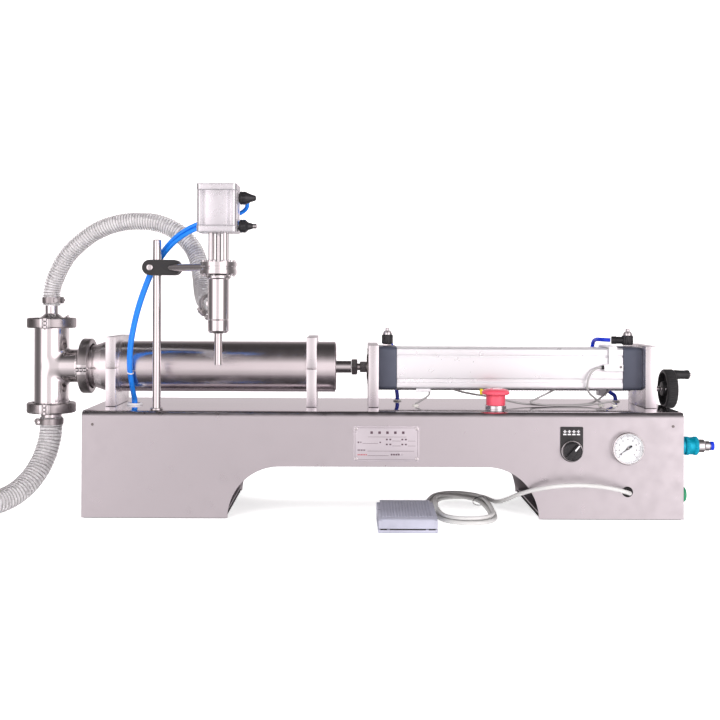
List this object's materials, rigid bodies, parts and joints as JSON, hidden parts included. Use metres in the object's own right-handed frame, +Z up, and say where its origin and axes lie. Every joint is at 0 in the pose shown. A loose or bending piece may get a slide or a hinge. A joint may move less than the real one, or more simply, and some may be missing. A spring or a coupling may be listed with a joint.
{
  "type": "piston liquid filler",
  "caption": "Bench-top pneumatic piston filler: folded steel base, dosing cylinder with check-valve tee, air cylinder, nozzle on a post, hoses and a foot switch.",
  "frame": {"origin": "on the surface the machine stands on, under the middle of the machine with its foot switch and without its hoses and cord", "axes": "+X along the cylinders from the tee to the handwheel, -Y towards the operator, +Z up"},
  "size_m": [1.41, 0.4394, 0.468],
  "materials": {
    "satin_steel": "fine satin brushing on folded stainless sheet",
    "polished_steel": "polished stainless tube",
    "machined_steel": "turned and milled stainless",
    "anodised_aluminium": "clear anodised extrusion",
    "slate_cap": "slate grey coated die casting",
    "black_plastic": "moulded black",
    "black_rubber": "matt",
    "clear_hose": "clear hose with a wire spiral",
    "azure_tube": "azure polyurethane air tube",
    "royal_tube": "royal blue polyurethane air tube",
    "red_plastic": "moulded red",
    "green_plastic": "moulded green",
    "cyan_metal": "cyan anodised sleeve",
    "white_plastic": "moulded white",
    "grey_plastic": "blue-grey hammer coated casting",
    "cord_grey": "light grey cord sheath",
    "seal_white": "white sealing polymer"
  },
  "bodies": {
    "root": {"base_housing": "satin_steel", "left_end_panel": "satin_steel", "right_end_panel": "satin_steel", "foot_pad_left": "black_rubber", "foot_pad_right": "black_rubber", "dosing_cylinder": "polished_steel", "cradle_left": "machined_steel", "cradle_right": "machined_steel", "tee_body": "polished_steel", "outlet_adapter": "machined_steel", "inlet_adapter": "machined_steel", "tri_clamp_top": "machined_steel", "tri_clamp_bottom": "machined_steel", "tri_clamp_branch": "machined_steel", "discharge_hose": "clear_hose", "suction_hose": "clear_hose", "suction_strainer": "machined_steel", "post": "polished_steel", "nozzle_air_tube_upper": "azure_tube", "nozzle_air_tube_lower": "azure_tube", "barrel": "anodised_aluminium", "front_cap": "slate_cap", "rear_cap": "slate_cap", "front_plate": "machined_steel", "rear_plate": "machined_steel", "port_fitting_front": "black_plastic", "port_fitting_rear": "black_plastic", "air_tube_front": "royal_tube", "air_tube_rear": "royal_tube", "estop_body": "machined_steel", "selector_plate": "black_plastic", "gauge_case": "machined_steel", "slide_valve_body": "machined_steel", "footswitch_base": "grey_plastic", "footswitch_cord": "cord_grey", "footswitch_cord_end": "cord_grey", "footswitch_coil": "cord_grey", "cord_grommet": "black_rubber"},
    "piston_train": {"drive_rod": "machined_steel", "dosing_piston": "seal_white"},
    "adjuster": {"lead_screw": "machined_steel", "handwheel": "black_plastic"},
    "grip": {"crank_grip": "black_plastic"},
    "carriage": {"sensor_carriage": "white_plastic"},
    "valve_head": {"post_clamp": "black_plastic", "valve_yoke": "machined_steel", "nozzle_body": "polished_steel", "valve_actuator": "anodised_aluminium", "actuator_fitting_upper": "black_plastic", "actuator_fitting_lower": "black_plastic"},
    "stem": {"valve_stem": "machined_steel"},
    "suction_check": {"suction_ball": "machined_steel"},
    "discharge_check": {"discharge_ball": "machined_steel"},
    "estop_plunger": {"estop_stem": "red_plastic"},
    "estop_mushroom": {"estop_head": "red_plastic"},
    "selector": {"selector_knob": "black_plastic"},
    "needle": {"gauge_needle": "black_plastic"},
    "slide_sleeve": {"slide_valve_sleeve": "cyan_metal"},
    "start_button": {"push_button": "green_plastic"},
    "pedal": {"footswitch_pedal": "grey_plastic"}
  },
  "joints": [
    {"name": "piston_stroke", "type": "slide", "parent": "root", "child": "piston_train", "axis": [-1, 0, 0], "range_m": [0, 0.25]},
    {"name": "handwheel_turn", "type": "hinge", "parent": "root", "child": "adjuster", "pos_m": [0.0254, 0.09, 0.174], "axis": [1, 0, 0], "range_deg": [0, 7200]},
    {"name": "carriage_travel", "type": "slide", "parent": "root", "child": "carriage", "axis": [-1, 0, 0], "range_m": [0, 0.2]},
    {"name": "crank_grip_spin", "type": "hinge", "parent": "adjuster", "child": "grip", "pos_m": [0.4954, 0.09, 0.196], "axis": [1, 0, 0], "continuous": true},
    {"name": "nozzle_height", "type": "slide", "parent": "root", "child": "valve_head", "axis": [0, 0, 1], "range_m": [-0.04, 0.02], "deforming": ["discharge_hose", "nozzle_air_tube_upper", "nozzle_air_tube_lower"]},
    {"name": "valve_stem_lift", "type": "slide", "parent": "valve_head", "child": "stem", "axis": [0, 0, 1], "range_m": [0, 0.012], "stiffness_N_per_m": 200, "springref_m": -0.004},
    {"name": "suction_ball_lift", "type": "slide", "parent": "root", "child": "suction_check", "axis": [0, 0, 1], "range_m": [0, 0.006]},
    {"name": "discharge_ball_lift", "type": "slide", "parent": "root", "child": "discharge_check", "axis": [0, 0, 1], "range_m": [0, 0.006]},
    {"name": "estop_press", "type": "slide", "parent": "root", "child": "estop_plunger", "axis": [0, 0, -1], "range_m": [0, 0.004], "stiffness_N_per_m": 400, "springref_m": -0.004},
    {"name": "estop_twist", "type": "hinge", "parent": "estop_plunger", "child": "estop_mushroom", "pos_m": [0.189, -0.036, 0.18], "axis": [0, 0, -1], "range_deg": [0, 30], "stiffness_Nm_per_rad": 0.05, "springref_deg": -11.46},
    {"name": "selector_turn", "type": "hinge", "parent": "root", "child": "selector", "pos_m": [0.2934, -0.0623, 0.098], "axis": [0, 1, 0], "range_deg": [-90, 0]},
    {"name": "gauge_needle_swing", "type": "hinge", "parent": "root", "child": "needle", "pos_m": [0.3726, -0.0665, 0.102], "axis": [0, 1, 0], "range_deg": [0, 270], "stiffness_Nm_per_rad": 0.00005, "springref_deg": -28.65},
    {"name": "slide_valve_shift", "type": "slide", "parent": "root", "child": "slide_sleeve", "axis": [1, 0, 0], "range_m": [0, 0.008]},
    {"name": "push_button_press", "type": "slide", "parent": "root", "child": "start_button", "axis": [-1, 0, 0], "range_m": [0, 0.003], "stiffness_N_per_m": 300, "springref_m": -0.003},
    {"name": "pedal_press", "type": "hinge", "parent": "root", "child": "pedal", "pos_m": [0.0566, -0.064, 0.016], "axis": [1, 0, 0], "range_deg": [0, 3.5], "stiffness_Nm_per_rad": 2, "springref_deg": -5.73}
  ],
  "couplings": [
    {"joint": "carriage_travel", "follows": "handwheel_turn", "m_per_rad": 0.0015915}
  ]
}
